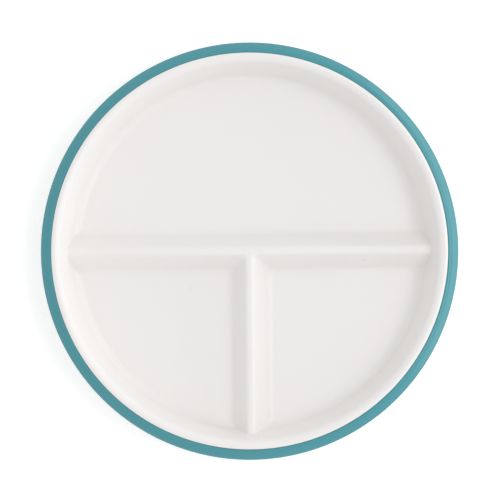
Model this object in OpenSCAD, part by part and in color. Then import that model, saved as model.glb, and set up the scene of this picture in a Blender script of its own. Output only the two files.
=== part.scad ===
// Round divided plate: a rigid moulded dish with a T-shaped divider, a soft band
// round its lip and a soft ring under its foot.
// The origin is the centre of the face that stands on the table, with +Z up.
// The large compartment lies towards +Y and the single divider runs towards -Y.

/* [Dish] */
// Diameter of the whole plate, across the rim band
plate_d = 203; // [180:1:230]
// Depth of the food side, from the crest of the lip down to the floor
bowl_depth = 20; // [17:0.5:26]
// Thickness of the moulded shell
shell_t = 2.4; // [1.8:0.1:3]
// Lean of the wall away from vertical, in degrees
wall_draft = 16; // [12:1:27]
// Inside radius where the floor turns up into the wall
floor_fillet = 4.5; // [2:0.5:8]
// Radius of the rounded lip, on both sides of its crest
lip_r = 3.2; // [1.5:0.1:4]
// Width of the flat that is left along the crest of the lip
lip_flat = 0.2; // [0.1:0.1:1.5]
// Slope of the rim's top outside the crest, on the lip and the band alike, in degrees
rim_slope = 14; // [5:1:25]
// Width of the straight land between the rounding of the lip and the band
lip_land = 0.4; // [0.4:0.1:1.2]
// Small radius on the lip's outer edge, beside the band
lip_edge_r = 0.2; // [0.1:0.05:0.4]
// Radius under the lip, where its lower face meets the wall
lip_under_r = 1.5; // [0.5:0.1:2]
// Small radius on the outside edges of the dish
dish_edge_r = 0.4; // [0.2:0.1:0.6]

/* [Dividers] */
// Height of the dividers above the floor
divider_h = 10; // [6:0.5:14]
// Lean of the dividers' sides away from vertical, in degrees
divider_draft = 37; // [28:1:45]
// Width of the flat that is left along the crest
crest_flat = 1.1; // [0.8:0.1:4]
// Radius on both edges of the crest
crest_r = 2.4; // [1.5:0.1:3]
// Radius where the sides meet the floor
divider_foot_r = 4.5; // [1:0.1:6]
// Land between the hollow under a divider and the foot rib
hollow_land = 2; // [1:0.5:10]

/* [Rim band] */
// Width of the band, seen from above
band_w = 5.4; // [4:0.1:6]
// Height of the band
band_h = 7; // [6.2:0.1:9]
// How far the top of the band lies below the outer edge of the lip
band_drop = 0.1; // [0:0.05:0.6]
// Radius of the band's upper edge, beside the lip
band_seam_r = 0.7; // [0.2:0.1:0.8]
// Width of the band's top, which goes on with the slope of the lip
band_top_w = 2; // [1.6:0.1:2.6]
// Slope of the band's outer face, in degrees
band_slope = 40; // [30:1:48]
// Radius where the band's top turns down into its outer face
band_ridge_r = 2; // [0.5:0.1:3]
// Radius where the outer face turns down into the outside
band_edge_r = 1.2; // [0.5:0.1:2]
// Radius of the band's lower outside edge
band_under_r = 2.2; // [1:0.1:2.6]
// Radius of the band's lower inside edge
band_heel_r = 0.5; // [0.2:0.1:1]

/* [Tongue that holds the band] */
// Length of the tongue, out from the lip
tongue_l = 2.4; // [1.6:0.1:2.8]
// Thickness of the tongue where it leaves the lip
tongue_root_t = 1.6; // [1.2:0.1:2]
// Thickness of the tongue at its tip, which keys it in the band
tongue_tip_t = 2.2; // [2:0.1:2.8]
// Height of the tongue's middle above the lower edge of the band
tongue_rise = 3; // [2.4:0.1:3.4]

/* [Foot] */
// Distance of the foot rib in from the edge of the flat floor
foot_inset = 1.6; // [1.2:0.1:15]
// Height of the foot rib below the shell
foot_rib_h = 2.8; // [2:0.1:5]
// Thickness of the foot rib on each side of its groove
foot_rib_t = 1.8; // [1.2:0.1:2.6]
// Radius where the foot rib meets the shell
foot_root_r = 0.8; // [0.4:0.1:1]
// Width of the groove for the foot ring
foot_w = 4; // [3:0.1:6]
// Depth of the groove for the foot ring
foot_seat = 1.6; // [1:0.1:2.2]
// How far the foot ring stands out of its groove
foot_proud = 0.8; // [0.6:0.1:1.5]
// Radius on the standing edges of the foot ring
foot_edge_r = 0.5; // [0.2:0.1:0.6]

/* [Fit] */
// Gap between the dish and the soft pieces that sit on it
soft_fit = 0.05; // [0.02:0.01:0.15]

/* [Hidden] */

// Largest turn of one step along a rounded corner, in degrees
arc_step = 7.5;
$fn = 180;

// Heights above the table
under_z = foot_proud + foot_rib_h;
floor_z = under_z + shell_t;
plate_h = floor_z + bowl_depth;
lip_edge_z = plate_h - lip_r * (1 - cos(rim_slope)) - lip_land * sin(rim_slope);
band_top_z = lip_edge_z - band_drop;
band_z = band_top_z - band_h;
tongue_z = band_z + tongue_rise;
groove_z = foot_proud + foot_seat;

// Radii of the rim, from the outside in
rim_r = plate_d / 2;
seam_r = rim_r - band_w;
tip_r = seam_r + tongue_l;
lip_out_r = seam_r - (plate_h - lip_edge_z) / tan(rim_slope);
lip_in_r = lip_out_r - lip_r * tan(rim_slope / 2) - lip_flat - lip_r * tan((90 - wall_draft) / 2);

// Radius of the wall's face at a height, taken off deep into the shell from the food side
function wall_r(z, off) = lip_in_r - (plate_h - z) * tan(wall_draft) + off / cos(wall_draft);
// Radius at which that face would meet the floor's face with no fillet
function corner_r(off) = wall_r(floor_z - off, off);

// Radii of the foot, from the edge of the flat floor in
floor_edge_r = corner_r(0) - floor_fillet * tan((90 - wall_draft) / 2);
rib_out_r = floor_edge_r - foot_inset;
groove_out_r = rib_out_r - foot_rib_t;
groove_in_r = groove_out_r - foot_w;
rib_in_r = groove_in_r - foot_rib_t;
hollow_r = rib_in_r - hollow_land;

// Half widths of a divider at its crest and on the floor, before its edges are rounded
crest_half = crest_flat / 2 + crest_r * tan((90 - divider_draft) / 2);
base_half = crest_half + divider_h * tan(divider_draft);

function unit(v) = v / norm(v);
function xy(p) = [p[0], p[1]];

// Points of the arc that rounds the corner at b, between a and c
function corner(a, b, c, r) =
    r <= 0 ? [b] :
    let (
        u = unit(a - b),
        v = unit(c - b),
        half = acos(u * v) / 2,
        centre = b + unit(u + v) * r / sin(half),
        from = b + u * r / tan(half) - centre,
        to = b + v * r / tan(half) - centre,
        first = atan2(from[1], from[0]),
        turn = (atan2(to[1], to[0]) - first + 540) % 360 - 180,
        steps = ceil(abs(turn) / arc_step)
    )
    [for (i = [0:steps]) centre + r * [cos(first + turn * i / steps), sin(first + turn * i / steps)]];

// A closed outline with every corner [x, y, radius] rounded
function rounded(path) =
    let (n = len(path))
    [for (i = [0:n - 1]) each corner(xy(path[(i + n - 1) % n]), xy(path[i]), xy(path[(i + 1) % n]), path[i][2])];

// Section of a divider on the food side, or of the hollow under it when taken off deep into the shell
function divider_section(off) =
    let (
        base_z = floor_z - off,
        top_z = floor_z + divider_h - off,
        top = crest_half - off * (1 - sin(divider_draft)) / cos(divider_draft),
        base = base_half - off * (1 - sin(divider_draft)) / cos(divider_draft),
        foot_r = divider_foot_r + off,
        side = concat(
            corner([rim_r, base_z], [base, base_z], [top, top_z], foot_r),
            corner([base, base_z], [top, top_z], [-top, top_z], crest_r - off)
        ),
        toe = side[0][0]
    )
    concat(
        [[toe, base_z - shell_t]],
        side,
        [for (i = [len(side) - 1:-1:0]) [-side[i][0], side[i][1]]],
        [[-toe, base_z - shell_t]]
    );

// The T of dividers: one bar right across and one from the centre towards -Y
module divider_bars(off) {
    rotate([90, 0, 90])
        linear_extrude(2 * rim_r, center = true)
            polygon(divider_section(off));
    rotate([90, 0, 0])
        linear_extrude(rim_r)
            polygon(divider_section(off));
}

// Everything on the food side of the middle of the shell, which the bars run into
module shell_core() {
    mid = shell_t / 2;
    rotate_extrude()
        polygon(rounded([
            [0, floor_z - mid, 0],
            [corner_r(mid), floor_z - mid, floor_fillet + mid],
            [wall_r(plate_h, mid), plate_h, 0],
            [0, plate_h, 0],
        ]));
}

// Hollow under the dividers, which keeps the shell at one thickness
module divider_hollow() {
    hollow_h = divider_h + shell_t;
    intersection() {
        divider_bars(shell_t);
        translate([0, 0, under_z - shell_t])
            cylinder(r1 = hollow_r + shell_t * tan(wall_draft), r2 = hollow_r - hollow_h * tan(wall_draft),
                     h = hollow_h + shell_t);
    }
}

// Section of the dish: food side, lip, tongue, outside, foot rib and underside
module dish_section() {
    polygon(rounded([
        [0, floor_z, 0],
        [corner_r(0), floor_z, floor_fillet],
        [lip_in_r, plate_h, lip_r],
        [lip_out_r, plate_h, lip_r],
        [seam_r, lip_edge_z, lip_edge_r],
        [seam_r, tongue_z + tongue_root_t / 2, 0],
        [tip_r, tongue_z + tongue_tip_t / 2, dish_edge_r],
        [tip_r, tongue_z - tongue_tip_t / 2, dish_edge_r],
        [seam_r, tongue_z - tongue_root_t / 2, 0],
        [seam_r, band_z, dish_edge_r],
        [wall_r(band_z, shell_t), band_z, lip_under_r],
        [corner_r(shell_t), under_z, floor_fillet + shell_t],
        [rib_out_r, under_z, foot_root_r],
        [rib_out_r, foot_proud, dish_edge_r],
        [groove_out_r, foot_proud, 0],
        [groove_out_r, groove_z, 0],
        [groove_in_r, groove_z, 0],
        [groove_in_r, foot_proud, 0],
        [rib_in_r, foot_proud, dish_edge_r],
        [rib_in_r, under_z, foot_root_r],
        [0, under_z, 0],
    ]));
}

// Rigid moulding: floor, wall, lip, dividers and foot rib in one piece
module dish() {
    color([0.93, 0.92, 0.91])
        difference() {
            union() {
                rotate_extrude()
                    dish_section();
                intersection() {
                    divider_bars(0);
                    shell_core();
                }
            }
            divider_hollow();
        }
}

// Soft band round the lip, with the slot that the tongue sits in
module rim_band() {
    band_in_r = seam_r + soft_fit;
    slot_root = tongue_root_t / 2 + soft_fit;
    slot_tip = tongue_tip_t / 2 + soft_fit;
    slot_end_r = tip_r + soft_fit;
    ridge_r = band_in_r + band_top_w;
    ridge_z = band_top_z - band_top_w * tan(rim_slope);
    color([0.33, 0.61, 0.66])
        rotate_extrude()
            polygon(rounded([
                [band_in_r, band_z, band_heel_r],
                [rim_r, band_z, band_under_r],
                [rim_r, ridge_z - (rim_r - ridge_r) * tan(band_slope), band_edge_r],
                [ridge_r, ridge_z, band_ridge_r],
                [band_in_r, band_top_z, band_seam_r],
                [band_in_r, tongue_z + slot_root, 0],
                [slot_end_r, tongue_z + slot_tip, dish_edge_r],
                [slot_end_r, tongue_z - slot_tip, dish_edge_r],
                [band_in_r, tongue_z - slot_root, 0],
            ]));
}

// Soft ring that the plate stands on, seated in the groove of the foot rib
module foot_ring() {
    color([0.33, 0.61, 0.66])
        rotate_extrude()
            polygon(rounded([
                [groove_in_r + soft_fit, 0, foot_edge_r],
                [groove_out_r - soft_fit, 0, foot_edge_r],
                [groove_out_r - soft_fit, groove_z, 0],
                [groove_in_r + soft_fit, groove_z, 0],
            ]));
}

dish();
rim_band();
foot_ring();
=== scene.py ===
import math

import bmesh
import bpy
from mathutils import Matrix, Vector


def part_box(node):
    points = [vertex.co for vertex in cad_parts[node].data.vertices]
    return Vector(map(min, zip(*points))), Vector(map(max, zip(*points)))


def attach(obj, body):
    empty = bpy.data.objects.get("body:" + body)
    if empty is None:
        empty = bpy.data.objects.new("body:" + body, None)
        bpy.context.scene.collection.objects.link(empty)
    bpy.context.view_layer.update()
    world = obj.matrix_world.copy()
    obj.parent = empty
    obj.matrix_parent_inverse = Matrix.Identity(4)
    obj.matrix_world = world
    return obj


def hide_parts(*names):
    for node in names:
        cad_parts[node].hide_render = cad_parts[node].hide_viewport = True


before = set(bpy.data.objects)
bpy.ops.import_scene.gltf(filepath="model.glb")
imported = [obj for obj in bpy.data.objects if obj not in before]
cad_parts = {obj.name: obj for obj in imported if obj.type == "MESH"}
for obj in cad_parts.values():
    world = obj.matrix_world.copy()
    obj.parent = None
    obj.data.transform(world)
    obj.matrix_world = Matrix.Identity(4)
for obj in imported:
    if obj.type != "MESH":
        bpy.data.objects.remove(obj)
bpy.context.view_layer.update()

# Dish
# One injection moulding in rigid white plastic: a flat floor, a sloped wall and a rounded lip, with a
# T of hollow dividers between the three compartments. A tongue round the lip holds the soft rim band,
# and a grooved rib underneath holds the foot ring.
dish_low, dish_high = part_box("dish")
band_low, band_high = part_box("rim_band")
foot_low, foot_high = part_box("foot_ring")
plate_h = dish_high.z
# The band's box is a little uneven, as its round edge is in facets, so its smaller side counts
rim_r = min(band_high.x, -band_low.x)
fit_gap = 0.00005
edge_r = 0.0004
merge_gap = 1e-5

# Floor, wall and lip
bowl_depth = 0.020
shell_t = 0.0024
wall_lean = math.radians(16)
wall_turn = math.pi / 2 - wall_lean
floor_fillet = 0.0045
floor_z = plate_h - bowl_depth
under_z = floor_z - shell_t
band_w = 0.0054
seam_r = rim_r - band_w
rim_slope = math.radians(14)
lip_r = 0.0032
lip_flat = 0.0002
lip_land = 0.0004
lip_edge_r = 0.0002
lip_under_r = 0.0015
lip_drop = lip_r * (1 - math.cos(rim_slope)) + lip_land * math.sin(rim_slope)
lip_out_r = seam_r - lip_drop / math.tan(rim_slope)
lip_crest_r = lip_out_r - lip_r * math.tan(rim_slope / 2) - lip_flat / 2
lip_in_r = lip_crest_r - lip_flat / 2 - lip_r * math.tan(wall_turn / 2)

# Tongue for the rim band, thicker at its tip than at its root
tongue_rise = 0.003
tongue_root = 0.0008
tongue_tip = 0.0011
tongue_z = band_low.z + tongue_rise
tip_r = dish_high.x

# Foot rib with its groove
groove_w = 0.004
groove_out_r = foot_high.x + fit_gap
groove_in_r = groove_out_r - groove_w
foot_rib_t = 0.0018
foot_root_r = 0.0008
rib_out_r = groove_out_r + foot_rib_t
rib_in_r = groove_in_r - foot_rib_t

# Dividers, softened in the inside corners of the T and against the wall, and hollow from below
divider_h = 0.010
divider_lean = math.radians(37)
divider_turn = math.pi / 2 - divider_lean
crest_flat = 0.0011
crest_r = 0.0024
divider_foot_r = 0.0045
divider_toe = (crest_flat / 2 + divider_h * math.tan(divider_lean)
               + (crest_r + divider_foot_r) * math.tan(divider_turn / 2))
mitre_soft = 0.003
wall_soft = 0.0016
hollow_land = 0.002
hollow_r = rib_in_r - hollow_land


def wall_r(z, deep):
    """Radius of the wall's face at a height, taken deep into the shell from the food side."""
    return lip_in_r - (plate_h - z) * math.tan(wall_lean) + deep / math.cos(wall_lean)


def rounded_section(corners, closed=False):
    """A new wire in the plane of X and Z through corners of (radius, height, rounding, steps)."""
    bm = bmesh.new()
    verts = [bm.verts.new((r, 0, z)) for r, z, rounding, steps in corners]
    ends = verts[1:] + verts[:1] if closed else verts[1:]
    for start, end in zip(verts, ends):
        bm.edges.new((start, end))
    for vert, (r, z, rounding, steps) in zip(verts, corners):
        if rounding:
            one, two = [edge.other_vert(vert).co - vert.co for edge in vert.link_edges]
            reach = rounding / math.tan(one.angle(two) / 2)
            bmesh.ops.bevel(bm, geom=[vert], offset=reach, offset_type="OFFSET", segments=steps,
                            profile=0.5, affect="VERTICES", material=-1)
    return bm


def divide_longest(bm, cuts):
    """Divides the longest edge of a wire, which is the straight stretch that needs rings."""
    longest = max(bm.edges, key=lambda edge: edge.calc_length())
    bmesh.ops.subdivide_edges(bm, edges=[longest], cuts=cuts)


def spin_round(bm, steps):
    """Spins a wire right round Z in even steps."""
    bmesh.ops.spin(bm, geom=bm.verts[:] + bm.edges[:], axis=(0, 0, 1), angle=math.tau, steps=steps,
                   use_merge=True)


def spin_to_angles(bm, angles):
    """Spins a wire right round Z, then moves each step to its own angle."""
    steps = len(angles)
    spin_round(bm, steps)
    for vert in bm.verts:
        step = round(math.atan2(vert.co.y, vert.co.x) / math.tau * steps) % steps
        vert.co.xy = vert.co.xy.length * Vector((math.cos(angles[step]), math.sin(angles[step])))


def fill_middle(bm, radius, lines):
    """Closes the round hole of a radius, and cuts it along the dividers, across and towards -Y."""
    hole = [edge for edge in bm.edges
            if edge.is_boundary and edge.verts[0].co.xy.length < radius + merge_gap]
    faces = bmesh.ops.contextual_create(bm, geom=hole)["faces"]
    for across in Vector((0, 1, 0)), Vector((1, 0, 0)):
        outline = dict.fromkeys(part for face in faces for part in face.edges[:] + face.verts[:])
        geom = faces + list(outline)
        for offset in [side * line for line in lines for side in (-1, 1)]:
            cut = bmesh.ops.bisect_plane(bm, geom=geom, dist=merge_gap / 2,
                                         plane_co=across * offset, plane_no=across)
            geom = cut["geom"]
        faces = [part for part in geom if isinstance(part, bmesh.types.BMFace)
                 and part.calc_center_median().y < 0]


def divider_side(distance, deep):
    """Rise of a divider at a distance from its middle, or of the hollow deep under its surface."""
    crest_round = max(crest_r - deep, 0)
    foot_round = divider_foot_r + deep
    crest_half = crest_flat / 2 + (crest_r - deep) * math.tan(divider_turn / 2)
    flat_half = crest_half - crest_round * math.tan(divider_turn / 2)
    if distance <= flat_half:
        return divider_h
    if distance >= divider_toe:
        return 0
    if distance < flat_half + crest_round * math.cos(divider_lean):
        return divider_h - crest_round + math.sqrt(crest_round ** 2 - (distance - flat_half) ** 2)
    if distance > divider_toe - foot_round * math.cos(divider_lean):
        return foot_round - math.sqrt(foot_round ** 2 - (divider_toe - distance) ** 2)
    return divider_h - (distance - crest_half) / math.tan(divider_lean)


def divider_distance(x, y):
    """Distance from the middle line of the T, with the inside corners of the T softened."""
    if y >= 0:
        return y
    near, far = sorted((abs(x), -y))
    overlap = max(mitre_soft - (far - near), 0)
    return max(near - overlap ** 2 / (4 * mitre_soft), 0)


def blended_rise(wall, divider):
    """The higher of two rises above the floor, with a small fillet where they cross."""
    reach = min(wall_soft, wall, divider)
    if reach <= 0:
        return max(wall, divider)
    overlap = max(reach - abs(wall - divider), 0)
    return max(wall, divider) + overlap ** 2 / (4 * reach)


# Lines along a divider: close together on its rounded crest and foot, and even between them
arc_steps = 7
side_steps = 9
beyond_toe = (0.001, 0.0026)
arc_sines = [math.sin(divider_turn * i / arc_steps) for i in range(arc_steps + 1)]
crest_lines = [crest_flat / 2 + crest_r * sine for sine in arc_sines]
foot_lines = [divider_toe - divider_foot_r * sine for sine in arc_sines]
side_gap = (foot_lines[-1] - crest_lines[-1]) / side_steps
side_lines = [crest_lines[-1] + side_gap * i for i in range(1, side_steps)]
beyond_lines = [divider_toe + gap for gap in beyond_toe]
divider_lines = crest_lines + side_lines + foot_lines + beyond_lines

# Turns of the section about Z: on the lines where they meet the wall, and even between the dividers
floor_rest = 0.001
floor_edge_r = wall_r(floor_z, 0) - floor_fillet * math.tan(wall_turn / 2)
floor_disc_r = floor_edge_r - floor_rest
widest_turn = math.radians(1.6)
line_turns = [math.asin(line / floor_disc_r) for line in divider_lines]
divider_ways = (0, math.pi, 1.5 * math.pi)
turns = sorted((way + side * turn) % math.tau
               for way in divider_ways for side in (-1, 1) for turn in line_turns)
dish_angles = []
for start, end in zip(turns, turns[1:] + [turns[0] + math.tau]):
    parts = math.ceil((end - start) / widest_turn)
    dish_angles += [start + (end - start) * part / parts for part in range(parts)]

# Food side, from the flat floor up the wall to the crest of the lip
wall_cuts = 27
food_side = rounded_section([
    (floor_disc_r, floor_z, 0, 0),
    (wall_r(floor_z, 0), floor_z, floor_fillet, 10),
    (lip_in_r, plate_h, lip_r, 10),
    (lip_crest_r, plate_h, 0, 0),
])
divide_longest(food_side, wall_cuts)
spin_to_angles(food_side, dish_angles)
fill_middle(food_side, floor_disc_r, divider_lines)
for vert in food_side.verts:
    rise = divider_side(divider_distance(vert.co.x, vert.co.y), 0)
    vert.co.z = floor_z + blended_rise(vert.co.z - floor_z, rise)

# Underside, from the crest of the lip down the outside to the foot rib and in to the hollow
hollow_end_w = 0.004
hollow_cuts = 9
under_disc_r = hollow_r - hollow_end_w
underside = rounded_section([
    (lip_crest_r, plate_h, 0, 0),
    (lip_out_r, plate_h, lip_r, 4),
    (seam_r, plate_h - lip_drop, lip_edge_r, 4),
    (seam_r, tongue_z + tongue_root, 0, 0),
    (tip_r, tongue_z + tongue_tip, edge_r, 3),
    (tip_r, tongue_z - tongue_tip, edge_r, 3),
    (seam_r, tongue_z - tongue_root, 0, 0),
    (seam_r, band_low.z, edge_r, 4),
    (wall_r(band_low.z, shell_t), band_low.z, lip_under_r, 6),
    (wall_r(under_z, shell_t), under_z, floor_fillet + shell_t, 12),
    (rib_out_r, under_z, foot_root_r, 5),
    (rib_out_r, dish_low.z, edge_r, 4),
    (groove_out_r, dish_low.z, 0, 0),
    (groove_out_r, foot_high.z, 0, 0),
    (groove_in_r, foot_high.z, 0, 0),
    (groove_in_r, dish_low.z, 0, 0),
    (rib_in_r, dish_low.z, edge_r, 4),
    (rib_in_r, under_z, foot_root_r, 5),
    (hollow_r, under_z, 0, 0),
    (under_disc_r, under_z, 0, 0),
])
hollow_end = [edge for edge in underside.edges if all(vert.co.x <= hollow_r for vert in edge.verts)]
bmesh.ops.subdivide_edges(underside, edges=hollow_end, cuts=hollow_cuts)
spin_to_angles(underside, dish_angles)
fill_middle(underside, under_disc_r, [under_disc_r * math.sin(turn) for turn in line_turns])
for vert in underside.verts:
    end_rise = (hollow_r - vert.co.xy.length) / math.tan(wall_lean)
    if end_rise > 0:
        vert.co.z += min(divider_side(divider_distance(vert.co.x, vert.co.y), shell_t), end_rise)

# Edges that turn by more than this stay crisp under smooth shading
sharp_angle = math.radians(40)


def make_piece(name, shapes):
    """A smooth-shaded object at the origin from one or more meshes that meet edge to edge."""
    whole = bmesh.new()
    mesh = bpy.data.meshes.new(name)
    for shape in shapes:
        shape.to_mesh(mesh)
        whole.from_mesh(mesh)
        shape.free()
    bmesh.ops.remove_doubles(whole, verts=whole.verts, dist=merge_gap)
    bmesh.ops.recalc_face_normals(whole, faces=whole.faces)
    whole.to_mesh(mesh)
    whole.free()
    mesh.shade_smooth()
    mesh.set_sharp_from_angle(angle=sharp_angle)
    piece = bpy.data.objects.new(name, mesh)
    bpy.context.scene.collection.objects.link(piece)
    return piece


dish = make_piece("white_dish", [food_side, underside])


def add_node(tree, kind, *values, settings=None, **inputs):
    """Adds a shader node, and gives its inputs, in order or by name, values or other nodes' outputs."""
    made = tree.nodes.new("ShaderNode" + kind)
    for name, value in (settings or {}).items():
        setattr(made, name, value)
    given = list(zip(made.inputs, values))
    given += [(made.inputs[name.replace("_", " ")], value) for name, value in inputs.items()]
    for socket, value in given:
        if isinstance(value, bpy.types.NodeSocket):
            tree.links.new(value, socket)
        else:
            socket.default_value = value
    return made


def add_math(tree, operation, *values):
    """Adds a Math node, and gives its result."""
    return add_node(tree, "Math", *values, settings={"operation": operation}).outputs[0]


def moulded_skin():
    """Node group of a moulded surface: broad tint, uneven gloss, and fine grain over orange peel."""
    tint_scale = 28.0
    gloss_scale = 95.0
    noise_middle = 0.5
    group = bpy.data.node_groups.new("moulded_skin", "ShaderNodeTree")
    face = group.interface
    face.new_socket("Colour", in_out="INPUT", socket_type="NodeSocketColor")
    for name in ("Tint", "Roughness", "Roughness Spread", "Grain Size", "Peel Size", "Peel Share"):
        face.new_socket(name, in_out="INPUT", socket_type="NodeSocketFloat")
    face.new_socket("Colour", in_out="OUTPUT", socket_type="NodeSocketColor")
    face.new_socket("Roughness", in_out="OUTPUT", socket_type="NodeSocketFloat")
    face.new_socket("Height", in_out="OUTPUT", socket_type="NodeSocketFloat")
    given = group.nodes.new("NodeGroupInput").outputs
    place = add_node(group, "TexCoord").outputs["Object"]

    flow = add_node(group, "TexNoise", Vector=place, Scale=tint_scale, Detail=3.0, Roughness=0.55)
    lean = add_math(group, "SUBTRACT", flow.outputs["Fac"], noise_middle)
    value = add_math(group, "MULTIPLY_ADD", lean, given["Tint"], 1.0)
    tinted = add_node(group, "HueSaturation", Color=given["Colour"], Value=value)

    handled = add_node(group, "TexNoise", Vector=place, Scale=gloss_scale, Detail=5.0, Roughness=0.6)
    shift = add_math(group, "SUBTRACT", handled.outputs["Fac"], noise_middle)
    rough = add_math(group, "MULTIPLY_ADD", shift, given["Roughness Spread"], given["Roughness"])

    def noise_of_size(size):
        """Noise whose features are about as wide as a size in metres."""
        scale = add_math(group, "DIVIDE", 1.0, size)
        return add_node(group, "TexNoise", Vector=place, Scale=scale, Detail=2.0).outputs["Fac"]

    height = add_node(group, "Mix", settings={"data_type": "FLOAT"}, Factor=given["Peel Share"],
                      A=noise_of_size(given["Grain Size"]), B=noise_of_size(given["Peel Size"]))
    out = group.nodes.new("NodeGroupOutput")
    group.links.new(tinted.outputs["Color"], out.inputs["Colour"])
    group.links.new(rough, out.inputs["Roughness"])
    group.links.new(height.outputs[0], out.inputs["Height"])
    return group


skin_group = moulded_skin()


def moulded_material(name, skin, bump_depth, **shader):
    """A Principled material with its own values of the moulded skin for colour, gloss and bump."""
    material = bpy.data.materials.new(name)
    material.use_nodes = True
    tree = material.node_tree
    bsdf = tree.nodes["Principled BSDF"]
    group = tree.nodes.new("ShaderNodeGroup")
    group.node_tree = skin_group
    for socket, value in skin.items():
        group.inputs[socket].default_value = value
    bump = add_node(tree, "Bump", Distance=bump_depth, Height=group.outputs["Height"])
    tree.links.new(group.outputs["Colour"], bsdf.inputs["Base Color"])
    tree.links.new(group.outputs["Roughness"], bsdf.inputs["Roughness"])
    tree.links.new(bump.outputs["Normal"], bsdf.inputs["Normal"])
    for socket, value in shader.items():
        bsdf.inputs[socket.replace("_", " ")].default_value = value
    return material


white = (0.9, 0.882, 0.87, 1)
white_plastic = moulded_material(
    "white_plastic",
    {"Colour": white, "Tint": 0.012, "Roughness": 0.3, "Roughness Spread": 0.12,
     "Grain Size": 0.0004, "Peel Size": 0.0022, "Peel Share": 0.7},
    bump_depth=0.000004, IOR=1.49)
dish.data.materials.append(white_plastic)
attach(dish, "root")
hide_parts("dish")

# Rim band
# A soft elastomer band moulded over the tongue round the lip. Its narrow top carries on the gentle
# slope of the lip, and a steeper face falls from there to the outside.
band_drop = 0.0001
band_top_w = 0.002
band_slope = math.radians(40)
band_seam_r = 0.0007
band_ridge_r = 0.002
band_edge_r = 0.0012
band_under_r = 0.0022
band_heel_r = 0.0005
band_in_r = seam_r + fit_gap
ridge_r = band_in_r + band_top_w
band_top_z = plate_h - lip_drop - band_drop
ridge_z = band_top_z - band_top_w * math.tan(rim_slope)
slope_end_z = ridge_z - (rim_r - ridge_r) * math.tan(band_slope)
slot_end_r = tip_r + fit_gap
slot_root = tongue_root + fit_gap
slot_tip = tongue_tip + fit_gap
band_section = rounded_section([
    (band_in_r, band_low.z, band_heel_r, 4),
    (rim_r, band_low.z, band_under_r, 8),
    (rim_r, slope_end_z, band_edge_r, 7),
    (ridge_r, ridge_z, band_ridge_r, 6),
    (band_in_r, band_top_z, band_seam_r, 7),
    (band_in_r, tongue_z + slot_root, 0, 0),
    (slot_end_r, tongue_z + slot_tip, edge_r, 3),
    (slot_end_r, tongue_z - slot_tip, edge_r, 3),
    (band_in_r, tongue_z - slot_root, 0, 0),
], closed=True)
ring_steps = 288
spin_round(band_section, ring_steps)
rim_band = make_piece("teal_rim_band", [band_section])

teal = (0.063, 0.308, 0.357, 1)
teal_elastomer = moulded_material(
    "teal_elastomer",
    {"Colour": teal, "Tint": 0.05, "Roughness": 0.3, "Roughness Spread": 0.12,
     "Grain Size": 0.00025, "Peel Size": 0.0016, "Peel Share": 0.35},
    bump_depth=0.000012, IOR=1.5)
rim_band.data.materials.append(teal_elastomer)
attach(rim_band, "root")
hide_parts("rim_band")

# Foot ring
# A soft non-slip ring of the same elastomer, pressed into the groove of the foot rib. The plate
# stands on its lower face.
foot_edge_r = 0.0005
foot_out_r = foot_high.x
foot_in_r = groove_in_r + fit_gap
foot_section = rounded_section([
    (foot_in_r, foot_low.z, foot_edge_r, 5),
    (foot_out_r, foot_low.z, foot_edge_r, 5),
    (foot_out_r, foot_high.z, 0, 0),
    (foot_in_r, foot_high.z, 0, 0),
], closed=True)
spin_round(foot_section, ring_steps)
foot_ring = make_piece("teal_foot_ring", [foot_section])
foot_ring.data.materials.append(teal_elastomer)
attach(foot_ring, "root")
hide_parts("foot_ring")

# Table
# A plain white surface that keeps the soft shadow, a hair below the foot ring. What the camera sees
# of it is lifted to white, and from below it is clear, so that the underside of the plate shows.
table_r = 3.0
table_corners = 64
table_gap = 0.00002
table_disc = bmesh.new()
bmesh.ops.create_circle(table_disc, cap_ends=True, segments=table_corners, radius=table_r,
                        matrix=Matrix.Translation((0, 0, -table_gap)))
table = make_piece("table", [table_disc])
table.data.flip_normals()


def seen_directly(tree):
    """1 for what is seen straight, in a reflection or through glass, and 0 for light on the object."""
    ray = add_node(tree, "LightPath").outputs
    straight = add_math(tree, "MAXIMUM", ray["Is Camera Ray"], ray["Is Glossy Ray"])
    return add_math(tree, "MAXIMUM", straight, ray["Is Transmission Ray"])


table_white = (0.86, 0.86, 0.86, 1)
table_lift = 0.38
table_paint = bpy.data.materials.new("table_paint")
table_paint.use_nodes = True
table_tree = table_paint.node_tree
table_tree.nodes.clear()
table_base = add_node(table_tree, "BsdfDiffuse", Color=table_white)
lift = add_math(table_tree, "MULTIPLY", seen_directly(table_tree), table_lift)
table_glow = add_node(table_tree, "Emission", Strength=lift)
from_above = add_node(table_tree, "AddShader", table_base.outputs[0], table_glow.outputs[0])
from_below = add_node(table_tree, "BsdfTransparent")
is_below = add_node(table_tree, "NewGeometry").outputs["Backfacing"]
both = add_node(table_tree, "MixShader", is_below, from_above.outputs[0], from_below.outputs[0])
add_node(table_tree, "OutputMaterial", Surface=both.outputs[0])
table.data.materials.append(table_paint)

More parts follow.
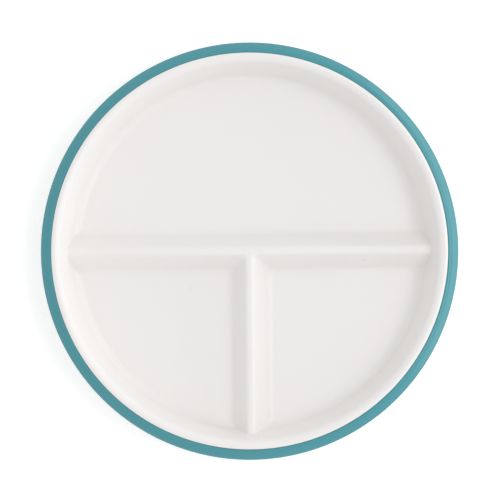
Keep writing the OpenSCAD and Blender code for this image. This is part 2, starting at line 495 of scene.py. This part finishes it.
# Light
# A bright even room, with a long low window light and a higher soft box, both from the right. The low
# one shades the slopes, and the high one lightens the floor.
room_level = 0.774
box_reach = 1.2
world = bpy.data.worlds.new("room")
bpy.context.scene.world = world
world.use_nodes = True
room_paint = world.node_tree.nodes["Background"]
room_paint.inputs["Color"].default_value = (room_level, room_level, room_level, 1)


def soft_box(name, way, height, wide, tall, energy):
    """An area lamp turned to the plate, at a way round it and a height above the table in degrees."""
    lamp = bpy.data.lights.new(name, "AREA")
    lamp.shape = "RECTANGLE"
    lamp.size = wide
    lamp.size_y = tall
    lamp.energy = energy
    box = bpy.data.objects.new(name, lamp)
    turn = Matrix.Rotation(math.radians(way), 3, "Z") @ Matrix.Rotation(-math.radians(height), 3, "Y")
    box.location = turn @ Vector((box_reach, 0, 0))
    box.rotation_euler = box.location.to_track_quat("Z", "Y").to_euler()
    bpy.context.scene.collection.objects.link(box)


soft_box("window", way=10, height=10, wide=2.4, tall=0.35, energy=4.46)
soft_box("high_box", way=0, height=60, wide=0.8, tall=0.5, energy=2.76)

# Camera
# Almost straight above, leaning a little towards the single divider and turned by half a degree, with
# the plate nearly filling the square frame.
frame_px = 500
plate_px = 419.5
plate_middle_px = (249.6, 250.5)
camera_tilt = math.radians(1.2)
camera_turn = math.radians(-0.55)
camera_reach = 0.9
sensor_w = 36
px = 2 * rim_r / plate_px
camera_data = bpy.data.cameras.new("camera")
camera_data.sensor_width = sensor_w
camera_data.lens = sensor_w * camera_reach / (frame_px * px)
camera = bpy.data.objects.new("camera", camera_data)
aim_x = (frame_px / 2 - plate_middle_px[0]) * px
aim_y = (plate_middle_px[1] - frame_px / 2) * px
aim = Vector((aim_x, aim_y, plate_h))
view = Matrix.Rotation(camera_turn, 3, "Z") @ Matrix.Rotation(camera_tilt, 3, "X")
camera.location = aim + view @ Vector((0, 0, camera_reach))
camera.rotation_euler = view.to_euler()
bpy.context.scene.collection.objects.link(camera)
bpy.context.scene.camera = camera
bpy.context.scene.view_settings.view_transform = "Standard"
